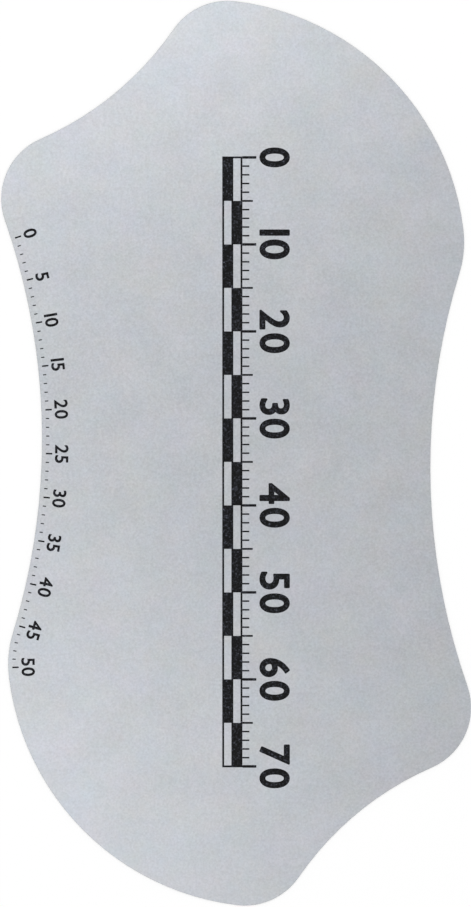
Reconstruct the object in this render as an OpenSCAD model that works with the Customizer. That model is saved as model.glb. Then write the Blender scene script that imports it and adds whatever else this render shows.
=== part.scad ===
// Thin flexible pry card, cut in one piece from stainless spring sheet.
// It lies flat: X across the card, Y along it, Z up, with the origin in the middle of its underside.
// The outline is the same after half a turn about Z. Each half is a chain of six arcs, each tangent to
// the next: shoulder, back, tip, bay, corner and waist. The bay and the waist are hollow, the rest bulge.

/* [Sheet] */
// Width of the card, over its two side corners
card_w = 54; // [50:0.5:58]
// Length of the card, over its two tips
card_l = 104; // [98:0.5:116]
// Thickness of the steel sheet
sheet_t = 0.1; // [0.08:0.01:0.3]
// Width of the bevel that deburring leaves along both faces
deburr_w = 0.02; // [0.01:0.005:0.03]

/* [Tips] */
// Radius of each tip
tip_r = 7.5; // [5:0.25:9]
// Distance from the long centre line to each tip's centre
tip_offset = 1; // [0:0.25:3]

/* [Side corners] */
// Radius of each side corner
corner_r = 7.5; // [5:0.25:9]
// Distance from the end of the card to each side corner's centre, along the card
corner_drop = 22.75; // [21:0.25:24.5]

/* [Shoulders] */
// Radius of each shoulder, where a waist turns into a back
shoulder_r = 12; // [9:0.5:14]
// Distance from the end of the card to each shoulder's centre, along the card
shoulder_drop = 27.75; // [26.5:0.25:29]
// How much less than the side corners the shoulders reach out
shoulder_inset = 0.8; // [0:0.1:1.5]

/* [Long curves] */
// Radius of each back, the long bulge from a shoulder to a tip
back_r = 30; // [28.5:0.5:33]
// Radius of each bay, the hollow from a tip to a side corner
bay_r = 36; // [30:0.5:50]
// Radius of each waist, the hollow from a side corner to the shoulder below it
waist_r = 76; // [66:0.5:86]

/* [Hidden] */
$fn = 240;
steel = [0.76, 0.77, 0.785];
// Neighbouring arcs cross by this much where they are tangent, so that no sliver of a gap opens there
lap = 0.0004;
// How far a cutting solid reaches past the faces that it cuts
past = 1;

// The point at distance ra from a and rb from b, on the left of the way from a to b
function meet(a, ra, b, rb) =
    let (
        span = norm(b - a),
        way = (b - a) / span,
        along = (ra * ra - rb * rb + span * span) / (2 * span),
        aside = sqrt(ra * ra - along * along)
    )
    a + along * way + aside * [-way.y, way.x];

// Centres of the arcs of one half, the half with the tip at +Y
tip_c = [-tip_offset, card_l / 2 - tip_r];
corner_c = [corner_r - card_w / 2, card_l / 2 - corner_drop];
shoulder_c = [card_w / 2 - shoulder_inset - shoulder_r, card_l / 2 - shoulder_drop];
back_c = meet(shoulder_c, back_r - shoulder_r + lap, tip_c, back_r - tip_r + lap);
bay_c = meet(corner_c, corner_r + bay_r - lap, tip_c, tip_r + bay_r - lap);
waist_c = meet(-shoulder_c, shoulder_r + waist_r - lap, corner_c, corner_r + waist_r - lap);

// Places its children for the half with the tip at +Y and, after half a turn, for the other half
module both_halves() {
    for (turn = [0, 180])
        rotate(turn)
            children();
}

// A round plate with the card's bevelled rim
module bulge(centre, r) {
    translate(centre)
        rotate_extrude()
            polygon([
                [0, 0], [r - deburr_w, 0], [r, deburr_w],
                [r, sheet_t - deburr_w], [r - deburr_w, sheet_t], [0, sheet_t]
            ]);
}

// The slice of such a plate that its centre sees between two other points
module bulge_slice(centre, r, from, to) {
    far = 2 * r;
    intersection() {
        bulge(centre, r);
        linear_extrude(sheet_t)
            polygon([
                centre,
                centre + far * (from - centre) / norm(from - centre),
                centre + far * (to - centre) / norm(to - centre)
            ]);
    }
}

// What is cut away to leave a hollow edge of radius r with the same bevels
module hollow(centre, r) {
    flare = deburr_w + past;
    translate(centre)
        rotate_extrude()
            polygon([
                [0, -past], [r + flare, -past], [r, deburr_w],
                [r, sheet_t - deburr_w], [r + flare, sheet_t + past], [0, sheet_t + past]
            ]);
}

// The sheet between the arcs: a plate with a corner at each arc's centre, with the hollows cut out of it
module web() {
    half = [shoulder_c, tip_c, bay_c, corner_c, waist_c];
    difference() {
        linear_extrude(sheet_t)
            polygon(concat(half, -half));
        both_halves() {
            hollow(bay_c, bay_r);
            hollow(waist_c, waist_r);
        }
    }
}

// The whole card
module pry_card() {
    color(steel)
        union() {
            web();
            both_halves() {
                bulge(shoulder_c, shoulder_r);
                bulge_slice(back_c, back_r, shoulder_c, tip_c);
                bulge(tip_c, tip_r);
                bulge(corner_c, corner_r);
            }
        }
}

pry_card();
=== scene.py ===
"""Dresses a flat steel pry card: its satin finish, its printed scales and the plain studio it lies in."""
import math
from collections import Counter

import bpy
import numpy as np
from mathutils import Matrix, Vector
from mathutils.geometry import delaunay_2d_cdt


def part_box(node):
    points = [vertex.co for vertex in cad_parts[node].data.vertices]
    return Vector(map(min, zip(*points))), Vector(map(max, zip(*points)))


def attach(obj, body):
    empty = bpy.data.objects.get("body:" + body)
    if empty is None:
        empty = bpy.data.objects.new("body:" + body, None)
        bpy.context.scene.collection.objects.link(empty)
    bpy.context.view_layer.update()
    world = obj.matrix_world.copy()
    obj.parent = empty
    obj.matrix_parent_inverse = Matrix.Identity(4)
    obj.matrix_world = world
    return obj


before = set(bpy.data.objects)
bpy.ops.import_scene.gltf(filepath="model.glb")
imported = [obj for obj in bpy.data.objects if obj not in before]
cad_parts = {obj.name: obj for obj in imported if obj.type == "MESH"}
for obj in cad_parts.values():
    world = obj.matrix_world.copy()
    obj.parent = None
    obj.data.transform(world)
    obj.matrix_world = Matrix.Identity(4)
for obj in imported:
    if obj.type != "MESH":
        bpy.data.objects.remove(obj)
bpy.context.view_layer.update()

bl_info = {
    "name": "Steel Pry Card",
    "version": (1, 0, 0),
    "blender": (4, 5, 0),
    "location": "View3D > Sidebar > Pry Card",
    "description": "Gives a flat steel pry card its satin finish, its printed scales and a plain studio",
    "category": "Object",
}

MM = 0.001
CARD_NODE = "pry_card"
CARD_LOW, CARD_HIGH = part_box(CARD_NODE)
CARD_TOP = CARD_HIGH.z
# Points of a flat shape that lie closer together than this become one point
MERGE_DISTANCE = 0.0005 * MM


# Settings

class SteelSettings(bpy.types.PropertyGroup):
    """The satin finish of the sheet."""

    colour: bpy.props.FloatVectorProperty(
        name="Colour", description="Colour of the bare sheet",
        default=(0.527, 0.546, 0.578), size=3, min=0, max=1, subtype="COLOR")
    tint_size: bpy.props.FloatProperty(
        name="Tint size", description="Width of the largest patches that are a little bluer or rosier",
        default=6 * MM, min=1 * MM, max=50 * MM, precision=5, unit="LENGTH", subtype="DISTANCE")
    tint_contrast: bpy.props.FloatProperty(
        name="Tint contrast", description="How far the patches go to blue and to rose",
        default=0.19, min=0, max=1, subtype="FACTOR")
    roughness: bpy.props.FloatProperty(
        name="Roughness", description="How matt the blasted faces are",
        default=0.3, min=0, max=1, subtype="FACTOR")
    grain_size: bpy.props.FloatProperty(
        name="Grain size", description="Width of one grain of the blasted faces",
        default=0.22 * MM, min=0.01 * MM, max=2 * MM, precision=6, unit="LENGTH", subtype="DISTANCE")
    grain_contrast: bpy.props.FloatProperty(
        name="Grain contrast", description="How much the grain lightens and darkens the steel",
        default=0.38, min=0, max=1, subtype="FACTOR")
    grain_depth: bpy.props.FloatProperty(
        name="Grain depth", description="Height of the grain, for the bump",
        default=0.0015 * MM, min=0, max=0.1 * MM, precision=7, unit="LENGTH", subtype="DISTANCE")
    cloud_contrast: bpy.props.FloatProperty(
        name="Cloud contrast", description="How much the clouds and streaks lighten and darken the steel",
        default=0.135, min=0, max=1, subtype="FACTOR")


class InkSettings(bpy.types.PropertyGroup):
    """The black marking ink."""

    colour: bpy.props.FloatVectorProperty(
        name="Ink colour", description="Colour of the marking where its film is full",
        default=(0.0050, 0.0054, 0.0070), size=3, min=0, max=1, subtype="COLOR")
    film: bpy.props.FloatProperty(
        name="Film thickness", description="How far the ink stands up from the steel",
        default=0.012 * MM, min=0.001 * MM, max=0.05 * MM, precision=6, unit="LENGTH", subtype="DISTANCE")
    rounding: bpy.props.FloatProperty(
        name="Rounding", description="Radius of the corners at the free end of a printed line",
        default=0.05 * MM, min=0, max=0.2 * MM, precision=6, unit="LENGTH", subtype="DISTANCE")


class RuleSettings(bpy.types.PropertyGroup):
    """The straight millimetre rule down the middle of the card."""

    start: bpy.props.FloatVectorProperty(
        name="Start", description="Where zero is, on the outer edge of the chequered bar",
        default=(-1.6 * MM, 34 * MM), size=2, precision=5, unit="LENGTH", subtype="XYZ")
    centimetres: bpy.props.IntProperty(
        name="Centimetres", description="Length of the rule", default=7, min=1, max=9)
    pitch: bpy.props.FloatProperty(
        name="Lane pitch", description="Distance from one long line of the bar to the next",
        default=1.05 * MM, min=0.4 * MM, max=3 * MM, precision=5, unit="LENGTH", subtype="DISTANCE")
    line: bpy.props.FloatProperty(
        name="Line width", description="Width of the bar's long lines",
        default=0.22 * MM, min=0.1 * MM, max=0.35 * MM, precision=5, unit="LENGTH", subtype="DISTANCE")
    figure: bpy.props.FloatProperty(
        name="Figure height", description="Height of the figures",
        default=3.5 * MM, min=1 * MM, max=5 * MM, precision=5, unit="LENGTH", subtype="DISTANCE")


class EdgeScaleSettings(bpy.types.PropertyGroup):
    """The small curved scale that follows the hollow edge on the card's left."""

    start: bpy.props.FloatProperty(
        name="Start", description="Where zero is, as a distance above the middle of the card",
        default=24.6 * MM, min=10 * MM, max=26 * MM, precision=5, unit="LENGTH", subtype="DISTANCE")
    length: bpy.props.IntProperty(
        name="Length", description="Millimetres that the scale counts along the edge",
        default=50, min=10, max=50)
    inset: bpy.props.FloatProperty(
        name="Inset", description="Distance from the edge of the card to the scale",
        default=0.45 * MM, min=0.1 * MM, max=3 * MM, precision=5, unit="LENGTH", subtype="DISTANCE")
    figure: bpy.props.FloatProperty(
        name="Figure height", description="Height of the figures",
        default=1.55 * MM, min=0.5 * MM, max=4 * MM, precision=5, unit="LENGTH", subtype="DISTANCE")


class StudioSettings(bpy.types.PropertyGroup):
    """The floor, the lamps and the camera."""

    floor_size: bpy.props.FloatProperty(
        name="Floor size", description="Side of the pale floor",
        default=12.0, min=1, max=50, unit="LENGTH", subtype="DISTANCE")
    floor_colour: bpy.props.FloatVectorProperty(
        name="Floor colour", description="Colour of the floor",
        default=(0.93, 0.93, 0.93), size=3, min=0, max=1, subtype="COLOR")
    ambient: bpy.props.FloatProperty(
        name="Ambient light", description="Level of the light from all round", default=0.78, min=0, max=2)
    floor_lift: bpy.props.FloatProperty(
        name="Floor lift", description="Light added to the floor where it is seen, to keep it white",
        default=0.18, min=0, max=1)
    focal_length: bpy.props.FloatProperty(
        name="Focal length", description="Focal length of the camera, in millimetres",
        default=100.0, min=20, max=300)
    picture_height: bpy.props.FloatProperty(
        name="Picture height", description="Height of what the picture shows, at the card's upper face",
        default=104.26 * MM, min=10 * MM, max=1, precision=5, unit="LENGTH", subtype="DISTANCE")
    aim: bpy.props.FloatVectorProperty(
        name="Aim", description="Spot of the card in the middle of the picture",
        default=(-0.077 * MM, -0.034 * MM), size=2, precision=6, unit="LENGTH", subtype="XYZ")


# Node recipes

class Wire:
    """A node's output whose sums and products add Math nodes."""

    def __init__(self, recipe, socket):
        self.recipe = recipe
        self.socket = socket

    def math(self, operation, *values):
        return self.recipe.out("ShaderNodeMath", {"operation": operation}, dict(enumerate(values)), "Value")

    def __add__(self, other):
        return self.math("ADD", self, other)

    def __mul__(self, other):
        return self.math("MULTIPLY", self, other)

    def __sub__(self, other):
        return self.math("SUBTRACT", self, other)

    def __rsub__(self, other):
        return self.math("SUBTRACT", other, self)

    def __pow__(self, other):
        return self.math("POWER", self, other)

    def __gt__(self, other):
        return self.math("GREATER_THAN", self, other)

    def __lt__(self, other):
        return self.math("LESS_THAN", self, other)

    def __abs__(self):
        return self.math("ABSOLUTE", self)

    __radd__ = __add__
    __rmul__ = __mul__


class Recipe:
    """A node tree being put together."""

    def __init__(self, tree):
        self.tree = tree
        tree.nodes.clear()

    def add(self, kind, settings=None, sockets=None):
        """Adds a node, sets its settings first and then gives its sockets their values or links."""
        node = self.tree.nodes.new(kind)
        for name, value in (settings or {}).items():
            setattr(node, name, value)
        for key, value in (sockets or {}).items():
            if isinstance(value, Wire):
                self.tree.links.new(value.socket, node.inputs[key])
            else:
                node.inputs[key].default_value = value
        return node

    def out(self, kind, settings, sockets, output):
        """Adds a node and returns one of its outputs as a wire."""
        return Wire(self, self.add(kind, settings, sockets).outputs[output])

    def place(self):
        """Where a point lies on the object, in metres."""
        return self.out("ShaderNodeTexCoord", {}, {}, "Object")

    def noise(self, place, size, detail=2.0):
        """Noise about zero, whose blotches are about as wide as size."""
        sockets = {"Vector": place, "Scale": 1 / size, "Detail": detail, "Roughness": 0.5}
        return self.out("ShaderNodeTexNoise", {}, sockets, "Fac") - 0.5

    def drawn_out(self, place, turn, stretch):
        """Coordinates on which a pattern is drawn out along a direction turned from X."""
        sockets = {"Vector": place, "Rotation": (0, 0, -turn), "Scale": (1 / stretch, 1, 1)}
        return self.out("ShaderNodeMapping", {"vector_type": "POINT"}, sockets, "Vector")

    def specks(self, place, spacing, size, share):
        """1 on small round specks, one to a cell of this spacing, in only this share of the cells."""
        sockets = {"Vector": place, "Scale": 1 / spacing}
        cells = self.add("ShaderNodeTexVoronoi", {}, sockets)
        middle = Wire(self, cells.outputs["Distance"]) < size / spacing
        draw = self.add("ShaderNodeSeparateColor", {}, {"Color": Wire(self, cells.outputs["Color"])})
        return middle * (Wire(self, draw.outputs["Red"]) < share)

    def shaded(self, colour, factor):
        """A colour made lighter or darker by a factor."""
        sockets = {0: colour, "Scale": factor}
        return self.out("ShaderNodeVectorMath", {"operation": "SCALE"}, sockets, "Vector")

    def mottled(self, colour, place, size, contrast):
        """A colour whose red and blue each drift a little from place to place."""
        sockets = {"Vector": place, "Scale": 1 / size, "Detail": 4.0, "Roughness": 0.8}
        drift = self.out("ShaderNodeTexNoise", {}, sockets, "Color")
        least = 1 - contrast / 2
        sockets = {0: drift, 1: (contrast, 0, contrast), 2: (least, 1, least)}
        tint = self.out("ShaderNodeVectorMath", {"operation": "MULTIPLY_ADD"}, sockets, "Vector")
        sockets = {0: tint, 1: tuple(colour)}
        return self.out("ShaderNodeVectorMath", {"operation": "MULTIPLY"}, sockets, "Vector")

    def rays(self, *names):
        """1 for any of these kinds of ray and 0 for the rest."""
        path = self.add("ShaderNodeLightPath")
        first, *rest = [Wire(self, path.outputs[name]) for name in names]
        return sum(rest, first) > 0.5

    def surface(self, shader, output="BSDF", target="ShaderNodeOutputMaterial"):
        """Links a finished shader to the tree's output."""
        self.add(target, {}, {"Surface": Wire(self, shader.outputs[output])})


def new_material(name):
    """A new material with an empty tree."""
    material = bpy.data.materials.new(name)
    material.use_nodes = True
    return material, Recipe(material.node_tree)


def satin_steel(steel):
    """Blasted stainless sheet: fine grain, soft clouds, faint rolling streaks, specks, and a cut edge
    painted darker, partly as its matt cut and partly as painted shade.
    """
    material, recipe = new_material("satin_steel")
    place = recipe.place()
    rolled = recipe.drawn_out(place, turn=math.radians(35), stretch=12)
    grain = recipe.noise(place, size=steel.grain_size)
    clouds = recipe.noise(place, size=5 * MM)
    streaks = recipe.noise(rolled, size=0.5 * MM)
    specks = recipe.specks(place, spacing=2.4 * MM, size=0.09 * MM, share=0.3)
    colour = recipe.mottled(steel.colour, place, steel.tint_size, steel.tint_contrast)
    normal = recipe.out("ShaderNodeNewGeometry", {}, {}, "Normal")
    tilt = recipe.out("ShaderNodeSeparateXYZ", {}, {"Vector": normal}, "Z")
    level_enough = 0.95
    streak_share = 0.3
    speck_glint = 0.09
    # The cut edge is painted darker: partly the matt cut itself, partly painted shade along the sheet's
    # rim.
    cut_darkness_and_painted_shade = 0.4
    grain_matt, cloud_matt, cut_matt = 0.06, 0.03, 0.1
    cut = abs(tilt) < level_enough
    soft = (clouds + streak_share * streaks) * steel.cloud_contrast
    shade = 1 + grain * steel.grain_contrast + soft + specks * speck_glint - cut * cut_darkness_and_painted_shade
    roughness = steel.roughness + grain * grain_matt + clouds * cloud_matt + cut * cut_matt
    bump = recipe.out("ShaderNodeBump", {}, {"Distance": steel.grain_depth, "Height": grain}, "Normal")
    shader = recipe.add("ShaderNodeBsdfPrincipled", {}, {
        "Base Color": recipe.shaded(colour, shade),
        "Metallic": 1.0,
        "Roughness": roughness,
        "Normal": bump,
    })
    recipe.surface(shader)
    return material


def marking_ink(ink):
    """Flat black ink, greyer in patches where its film is thin, and lighter in small dots that are partly
    thin film and partly painted glints.
    """
    material, recipe = new_material("black_marking")
    place = recipe.place()
    grain = recipe.noise(place, size=0.2 * MM)
    patches = recipe.noise(place, size=1.2 * MM)
    sharpness = 7
    matt, grain_matt = 0.5, 0.2
    # Small lighter dots: partly thin film showing the steel, partly painted glints of the ink's grain.
    thin_spots_and_painted_glints = (1 + 2 * grain) ** sharpness
    colour = recipe.shaded(tuple(ink.colour), thin_spots_and_painted_glints * (1 + 2 * patches))
    shader = recipe.add("ShaderNodeBsdfPrincipled", {}, {
        "Base Color": colour,
        "Roughness": matt + grain * grain_matt,
        "Specular IOR Level": 0.15,
    })
    recipe.surface(shader)
    return material


def pale_floor(studio):
    """A plain white floor, lifted a little for what is seen directly, that keeps the card's shadow."""
    material, recipe = new_material("pale_floor")
    matt = recipe.add("ShaderNodeBsdfDiffuse", {}, {"Color": (*studio.floor_colour, 1)})
    seen = recipe.rays("Is Camera Ray", "Is Glossy Ray", "Is Transmission Ray")
    lift = recipe.add("ShaderNodeEmission", {}, {"Strength": seen * studio.floor_lift})
    both = recipe.add("ShaderNodeAddShader", {}, {
        0: Wire(recipe, matt.outputs["BSDF"]), 1: Wire(recipe, lift.outputs["Emission"])})
    recipe.surface(both, "Shader")
    return material


# Modelling helpers

def deselect_all():
    """Leaves nothing selected, so that an operator acts only on what is added next."""
    bpy.ops.object.select_all(action="DESELECT")


def select_only(pieces):
    """Selects these objects alone and makes the first one active."""
    deselect_all()
    for piece in pieces:
        piece.select_set(True)
    bpy.context.view_layer.objects.active = pieces[0]


def pick_by(kind):
    """Makes edit mode go by vertices or by faces, set before it is entered so that a selection is kept."""
    bpy.context.tool_settings.mesh_select_mode = [kind == name for name in ("VERT", "EDGE", "FACE")]


def place_in_mesh(piece, matrix):
    """Moves an object to its place and puts that place into its mesh."""
    piece.matrix_world = matrix
    select_only([piece])
    bpy.ops.object.transform_apply(location=True, rotation=True, scale=True)


def turned_at(point, turn):
    """The place of a mark whose foot is at a point and whose own X and Y are turned about Z."""
    return Matrix.Translation((point[0], point[1], 0)) @ Matrix.Rotation(turn, 4, "Z")


def face_up(flat):
    """Merges the points of a flat shape that lie on one another, and turns all its faces up."""
    select_only([flat])
    bpy.ops.object.mode_set(mode="EDIT")
    bpy.ops.mesh.select_all(action="SELECT")
    bpy.ops.mesh.remove_doubles(threshold=MERGE_DISTANCE)
    bpy.ops.mesh.normals_make_consistent(inside=False)
    bpy.ops.object.mode_set(mode="OBJECT")
    if max(flat.data.polygons, key=lambda face: face.area).normal.z < 0:
        flat.data.flip_normals()


def rim_band(flat, width):
    """Outlines of patches that lay a band round the outside of a flat shape: along edges, round corners."""
    mesh = flat.data
    shared = Counter(key for face in mesh.polygons for key in face.edge_keys)
    widest_step = math.radians(20)
    arriving = {}
    leaving = {}
    patches = []
    for face in mesh.polygons:
        ring = list(face.vertices)
        for a, b in zip(ring, ring[1:] + ring[:1]):
            if shared[min(a, b), max(a, b)] == 1:
                start, end = mesh.vertices[a].co.xy, mesh.vertices[b].co.xy
                along = (end - start).normalized()
                out = width * Vector((along.y, -along.x))
                arriving[b] = leaving[a] = out
                patches.append([start, start + out, end + out, end])
    for corner, ray in arriving.items():
        turn = -ray.angle_signed(leaving[corner])
        if turn > 0:
            steps = math.ceil(turn / widest_step)
            middle = mesh.vertices[corner].co.xy
            arc = [middle + Matrix.Rotation(turn * k / steps, 2) @ ray for k in range(steps + 1)]
            patches.append([middle, *arc])
    return patches


def embolden(flat, weight):
    """Makes a flat shape heavier by a band round its rim and in its openings, all in one layer."""
    mesh = flat.data
    no_area = (0.0001 * MM) ** 2
    points = [vertex.co.xy for vertex in mesh.vertices]
    faces = [list(face.vertices) for face in mesh.polygons if face.area > no_area]
    for patch in rim_band(flat, weight):
        faces.append(list(range(len(points), len(points) + len(patch))))
        points += patch
    inside_only = 1
    closest = 0.001 * weight
    corners, _, triangles, _, _, covers = delaunay_2d_cdt(points, [], faces, inside_only, closest)
    kept = [triangle for triangle, cover in zip(triangles, covers) if cover]
    mesh.clear_geometry()
    mesh.from_pydata([(*corner, 0) for corner in corners], [], kept)
    select_only([flat])
    pick_by("VERT")
    bpy.ops.object.mode_set(mode="EDIT")
    bpy.ops.mesh.select_all(action="SELECT")
    bpy.ops.mesh.remove_doubles(threshold=MERGE_DISTANCE)
    bpy.ops.mesh.dissolve_limited(angle_limit=math.radians(0.5))
    bpy.ops.object.mode_set(mode="OBJECT")


def flat_grid(across, along):
    """A grid with its lines at these distances across and these distances down, ready to pick faces in."""
    deselect_all()
    columns, rows = len(across) - 1, len(along) - 1
    bpy.ops.mesh.primitive_grid_add(x_subdivisions=columns, y_subdivisions=rows, size=1)
    grid = bpy.context.object
    for vertex in grid.data.vertices:
        column = round((vertex.co.x + 0.5) * columns)
        row = round((0.5 - vertex.co.y) * rows)
        vertex.co = (across[column], -along[row], 0)
    pick_by("FACE")
    bpy.ops.object.mode_set(mode="EDIT")
    bpy.ops.mesh.select_all(action="DESELECT")
    bpy.ops.object.mode_set(mode="OBJECT")
    return grid


def raised(flat, ink):
    """Gives a flat shape the thickness of the ink and stands it on the card's upper face."""
    face_up(flat)
    sunk = 0.1 * ink.film
    flat.location.z = CARD_TOP - sunk
    bpy.ops.object.transform_apply(location=True, rotation=False, scale=False)
    film = flat.modifiers.new("ink_film", "SOLIDIFY")
    film.thickness = ink.film + sunk
    film.offset = 1.0
    bpy.ops.object.modifier_apply(modifier=film.name)
    return flat


def printed_line(width, length, ink):
    """One short printed line, from the middle of its foot at the origin to its rounded end along +Y."""
    deselect_all()
    bpy.ops.mesh.primitive_plane_add(size=1, location=(0, length / 2, 0))
    line = bpy.context.object
    line.scale = (width, length, 1)
    bpy.ops.object.transform_apply(location=True, rotation=False, scale=True)
    for vertex in line.data.vertices:
        vertex.select = vertex.co.y > length / 2
    most_rounding = 0.4 * width
    pick_by("VERT")
    bpy.ops.object.mode_set(mode="EDIT")
    bpy.ops.mesh.bevel(offset=min(ink.rounding, most_rounding), segments=2, affect="VERTICES")
    bpy.ops.object.mode_set(mode="OBJECT")
    return raised(line, ink)


def digit(character, height, weight):
    """A flat digit made heavier all round by a weight, standing on X with its left side at the origin."""
    deselect_all()
    bpy.ops.object.text_add(location=(0, 0, 0))
    letters = bpy.context.object.data
    letters.body = character
    letters.resolution_u = 8
    bpy.ops.object.convert(target="MESH")
    mark = bpy.context.object
    corners = [vertex.co for vertex in mark.data.vertices]
    low, high = [Vector(map(end, zip(*corners))) for end in (min, max)]
    resize = Matrix.Scale((height - 2 * weight) / (high.y - low.y), 4)
    place_in_mesh(mark, Matrix.Translation((weight, weight, 0)) @ resize @ Matrix.Translation(-low))
    face_up(mark)
    embolden(mark, weight)
    return mark


def figure(text, height, weight, ink):
    """A printed number: the middle of its foot is at the origin and it stands along +Y."""
    digits = [digit(character, height, weight) for character in text]
    gap = 0.12 * height
    reach = 0
    for mark in digits:
        width = max(vertex.co.x for vertex in mark.data.vertices)
        place_in_mesh(mark, Matrix.Translation((reach, 0, 0)))
        reach += width + gap
    select_only(digits)
    bpy.ops.object.join()
    number = bpy.context.object
    place_in_mesh(number, Matrix.Translation(((gap - reach) / 2, 0, 0)))
    return raised(number, ink)


def repeated(model, places):
    """Copies of a model at each of these places, each with its own mesh. The model itself is used up."""
    copies = []
    for place in places:
        copy = model.copy()
        copy.data = model.data.copy()
        bpy.context.collection.objects.link(copy)
        place_in_mesh(copy, place)
        copies.append(copy)
    bpy.data.objects.remove(model)
    return copies


def printed_piece(name, parts):
    """Joins the parts of one printed piece, gives it its ink and lets it ride on the card."""
    select_only(parts)
    bpy.ops.object.join()
    piece = bpy.context.object
    piece.name = name
    piece.data.name = name
    piece.data.materials.clear()
    ink = bpy.data.materials.get("black_marking") or marking_ink(bpy.context.scene.card_ink)
    piece.data.materials.append(ink)
    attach(piece, "root")
    return piece


# Operators

class PRYCARD_OT_steel_finish(bpy.types.Operator):
    """Gives the card its satin steel."""

    bl_idname = "prycard.steel_finish"
    bl_label = "Steel Finish"

    def execute(self, context):
        steel = satin_steel(context.scene.card_steel)
        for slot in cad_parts[CARD_NODE].material_slots:
            slot.material = steel
        return {"FINISHED"}


def bar_width(rule):
    """Width of the chequered bar, over its three long lines."""
    return 2 * rule.pitch + rule.line


class PRYCARD_OT_rule_bar(bpy.types.Operator):
    """Prints the rule's chequered bar: three long lines with fields of five millimetres between them."""

    bl_idname = "prycard.rule_bar"
    bl_label = "Rule Bar"

    def execute(self, context):
        rule = context.scene.card_rule
        fields = 2 * rule.centimetres
        half = rule.line / 2
        length = fields * 5 * MM
        across = [lane * rule.pitch + side for lane in range(3) for side in (0, rule.line)]
        along = [-half, half, *(n * 5 * MM for n in range(1, fields)), length - half, length + half]
        bar = flat_grid(across, along)
        for face in bar.data.polygons:
            column = sum(x < face.center.x for x in across) - 1
            field = sum(y < -face.center.y for y in along) - 2
            # The lanes between the long lines are columns 1 and 3, and each field leaves one of them bare
            bare_lane = 3 if field % 2 == 0 else 1
            face.select = 0 <= field < fields and column == bare_lane
        bpy.ops.object.mode_set(mode="EDIT")
        bpy.ops.mesh.delete(type="FACE")
        bpy.ops.object.mode_set(mode="OBJECT")
        raised(bar, context.scene.card_ink)
        place_in_mesh(bar, Matrix.Translation((*rule.start, 0)))
        printed_piece("rule_bar", [bar])
        return {"FINISHED"}


class PRYCARD_OT_rule_lines(bpy.types.Operator):
    """Prints the rule's millimetre lines, longer at five and at ten."""

    bl_idname = "prycard.rule_lines"
    bl_label = "Rule Lines"

    def execute(self, context):
        rule = context.scene.card_rule
        foot = rule.start[0] + bar_width(rule)
        # The width and length of a line, by the largest of these steps that divides its millimetre
        kinds = {10: (0.3 * MM, 1.6 * MM), 5: (0.22 * MM, 1.2 * MM), 1: (0.18 * MM, 0.8 * MM)}
        numbers = range(rule.centimetres * 10 + 1)
        parts = []
        for step, (width, length) in kinds.items():
            marks = [n for n in numbers if step == max(kind for kind in kinds if n % kind == 0)]
            places = [turned_at((foot, rule.start[1] - n * MM), math.radians(-90)) for n in marks]
            parts += repeated(printed_line(width, length, context.scene.card_ink), places)
        printed_piece("rule_lines", parts)
        return {"FINISHED"}


class PRYCARD_OT_rule_figures(bpy.types.Operator):
    """Prints the rule's bold figures, one number at each centimetre."""

    bl_idname = "prycard.rule_figures"
    bl_label = "Rule Figures"

    def execute(self, context):
        rule = context.scene.card_rule
        past_lines = 1.95 * MM
        weight = 0.13 * MM
        foot = rule.start[0] + bar_width(rule) + past_lines
        parts = []
        for n in range(0, rule.centimetres * 10 + 1, 10):
            mark = figure(str(n), rule.figure, weight, context.scene.card_ink)
            parts += repeated(mark, [turned_at((foot, rule.start[1] - n * MM), math.radians(-90))])
        printed_piece("rule_figures", parts)
        return {"FINISHED"}


def left_edge(reach):
    """Corners of the card's own left edge, from this far above its middle to as far below it."""
    corners = [vertex.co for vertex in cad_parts[CARD_NODE].data.vertices]
    # The wall's upper rim lies under the upper bevel, above mid height and below the face
    wall_top = [corner for corner in corners if 0.5 < corner.z / CARD_TOP < 0.95]
    edge = sorted({(-corner.y, corner.x) for corner in wall_top if corner.x < 0 and abs(corner.y) < reach})
    return np.array([(x, -down) for down, x in edge])


def edge_places(scale, numbers, away):
    """Places along the card's left edge, one for each number of millimetres, this far in from it."""
    corners = left_edge(reach=30 * MM)
    nearby = 1.5 * MM
    walked = np.concatenate(([0], np.cumsum(np.linalg.norm(np.diff(corners, axis=0), axis=1))))
    zero = np.interp(-scale.start, -corners[:, 1], walked)

    def spot(at):
        return Vector([np.interp(at, walked, corners[:, axis]) for axis in (0, 1)])

    places = []
    for n in numbers:
        at = zero + n * MM
        ahead = (spot(at + nearby) - spot(at - nearby)).normalized()
        inward = Vector((-ahead.y, ahead.x))
        places.append(turned_at(spot(at) + away * inward, math.atan2(ahead.y, ahead.x)))
    return places


class PRYCARD_OT_edge_lines(bpy.types.Operator):
    """Prints the fine lines of the curved scale."""

    bl_idname = "prycard.edge_lines"
    bl_label = "Edge Lines"

    def execute(self, context):
        scale = context.scene.card_edge_scale
        ink = context.scene.card_ink
        fives = range(0, scale.length + 1, 5)
        ones = [n for n in range(scale.length + 1) if n % 5]
        five_line = printed_line(width=0.18 * MM, length=0.75 * MM, ink=ink)
        parts = repeated(five_line, edge_places(scale, fives, scale.inset))
        one_line = printed_line(width=0.12 * MM, length=0.4 * MM, ink=ink)
        parts += repeated(one_line, edge_places(scale, ones, scale.inset))
        printed_piece("edge_lines", parts)
        return {"FINISHED"}


class PRYCARD_OT_edge_figures(bpy.types.Operator):
    """Prints the small figures of the curved scale, one number at each five millimetres."""

    bl_idname = "prycard.edge_figures"
    bl_label = "Edge Figures"

    def execute(self, context):
        scale = context.scene.card_edge_scale
        past_lines = 1.05 * MM
        weight = 0.045 * MM
        away = scale.inset + past_lines
        parts = []
        for n in range(0, scale.length + 1, 5):
            mark = figure(str(n), scale.figure, weight, context.scene.card_ink)
            parts += repeated(mark, edge_places(scale, [n], away))
        printed_piece("edge_figures", parts)
        return {"FINISHED"}


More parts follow.
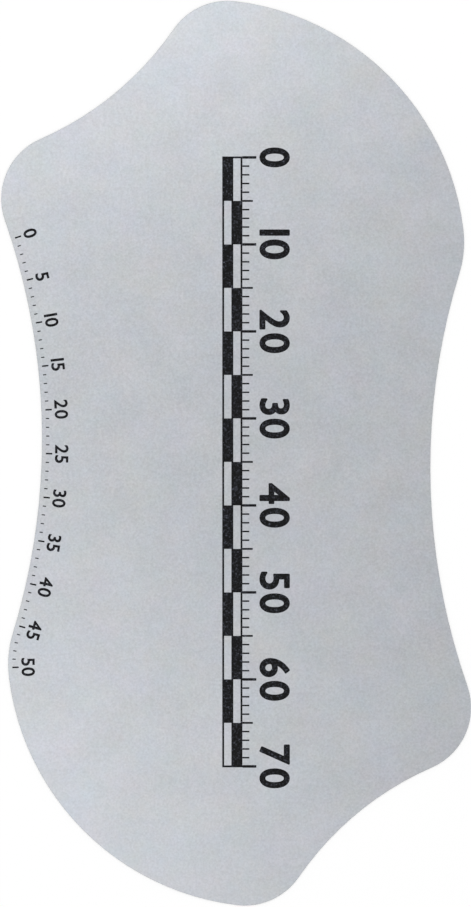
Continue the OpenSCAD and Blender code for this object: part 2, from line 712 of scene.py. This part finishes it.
def softbox(name, place, side, power):
    """A square soft lamp that points at the card."""
    deselect_all()
    bpy.ops.object.light_add(type="AREA", location=place)
    lamp = bpy.context.object
    lamp.name = name
    lamp.data.name = name
    lamp.data.shape = "SQUARE"
    lamp.data.size = side
    lamp.data.energy = power
    lamp.rotation_euler = (-Vector(place)).to_track_quat("-Z", "Y").to_euler()
    return lamp


class PRYCARD_OT_studio(bpy.types.Operator):
    """Adds the pale floor, the soft lamps, the white surroundings and the camera above the card."""

    bl_idname = "prycard.studio"
    bl_label = "Studio"

    def execute(self, context):
        studio = context.scene.card_studio
        self.add_floor(studio)
        softbox("lamp_far", place=(-0.116, 0.318, 0.725), side=0.35, power=0.48)
        softbox("lamp_near", place=(-0.193, -0.193, 0.752), side=0.35, power=0.28)
        self.add_surroundings(context, studio)
        self.add_camera(context, studio)
        context.scene.view_settings.view_transform = "Standard"
        return {"FINISHED"}

    def add_floor(self, studio):
        deselect_all()
        bpy.ops.mesh.primitive_plane_add(size=studio.floor_size)
        floor = bpy.context.object
        floor.name = "floor"
        place_in_mesh(floor, Matrix.Translation((0, 0, CARD_LOW.z - 0.01 * MM)))
        floor.data.materials.append(pale_floor(studio))

    def add_surroundings(self, context, studio):
        world = bpy.data.worlds.new("surroundings")
        world.use_nodes = True
        context.scene.world = world
        recipe = Recipe(world.node_tree)
        light = recipe.add("ShaderNodeBackground", {}, {"Color": (1, 1, 1, 1), "Strength": studio.ambient})
        recipe.surface(light, "Background", "ShaderNodeOutputWorld")

    def add_camera(self, context, studio):
        bpy.ops.object.camera_add(rotation=(0, 0, 0))
        camera = bpy.context.object
        camera.name = "camera"
        camera.data.lens = studio.focal_length
        height = studio.picture_height * camera.data.lens / camera.data.sensor_width
        camera.location = (*studio.aim, CARD_TOP + height)
        camera.data.clip_start = 0.01
        context.scene.camera = camera


class PRYCARD_PT_panel(bpy.types.Panel):
    """Lists the card's pieces in the sidebar."""

    bl_label = "Pry Card"
    bl_idname = "PRYCARD_PT_panel"
    bl_space_type = "VIEW_3D"
    bl_region_type = "UI"
    bl_category = "Pry Card"

    def draw(self, context):
        for owner, operators in OPERATOR_ROWS:
            box = self.layout.box()
            for name in SETTINGS[owner].__annotations__:
                box.prop(getattr(context.scene, owner), name)
            for operator in operators:
                box.operator(operator.bl_idname)


SETTINGS = {
    "card_steel": SteelSettings,
    "card_ink": InkSettings,
    "card_rule": RuleSettings,
    "card_edge_scale": EdgeScaleSettings,
    "card_studio": StudioSettings,
}
OPERATOR_ROWS = (
    ("card_steel", (PRYCARD_OT_steel_finish,)),
    ("card_ink", ()),
    ("card_rule", (PRYCARD_OT_rule_bar, PRYCARD_OT_rule_lines, PRYCARD_OT_rule_figures)),
    ("card_edge_scale", (PRYCARD_OT_edge_lines, PRYCARD_OT_edge_figures)),
    ("card_studio", (PRYCARD_OT_studio,)),
)
CLASSES = (
    *SETTINGS.values(),
    *(operator for _, operators in OPERATOR_ROWS for operator in operators),
    PRYCARD_PT_panel,
)


def register():
    for item in CLASSES:
        bpy.utils.register_class(item)
    for name, group in SETTINGS.items():
        setattr(bpy.types.Scene, name, bpy.props.PointerProperty(type=group))


def unregister():
    for name in SETTINGS:
        delattr(bpy.types.Scene, name)
    for item in reversed(CLASSES):
        bpy.utils.unregister_class(item)


def main():
    register()
    bpy.ops.prycard.steel_finish()
    bpy.ops.prycard.rule_bar()
    bpy.ops.prycard.rule_lines()
    bpy.ops.prycard.rule_figures()
    bpy.ops.prycard.edge_lines()
    bpy.ops.prycard.edge_figures()
    bpy.ops.prycard.studio()


if __name__ == "__main__":
    main()
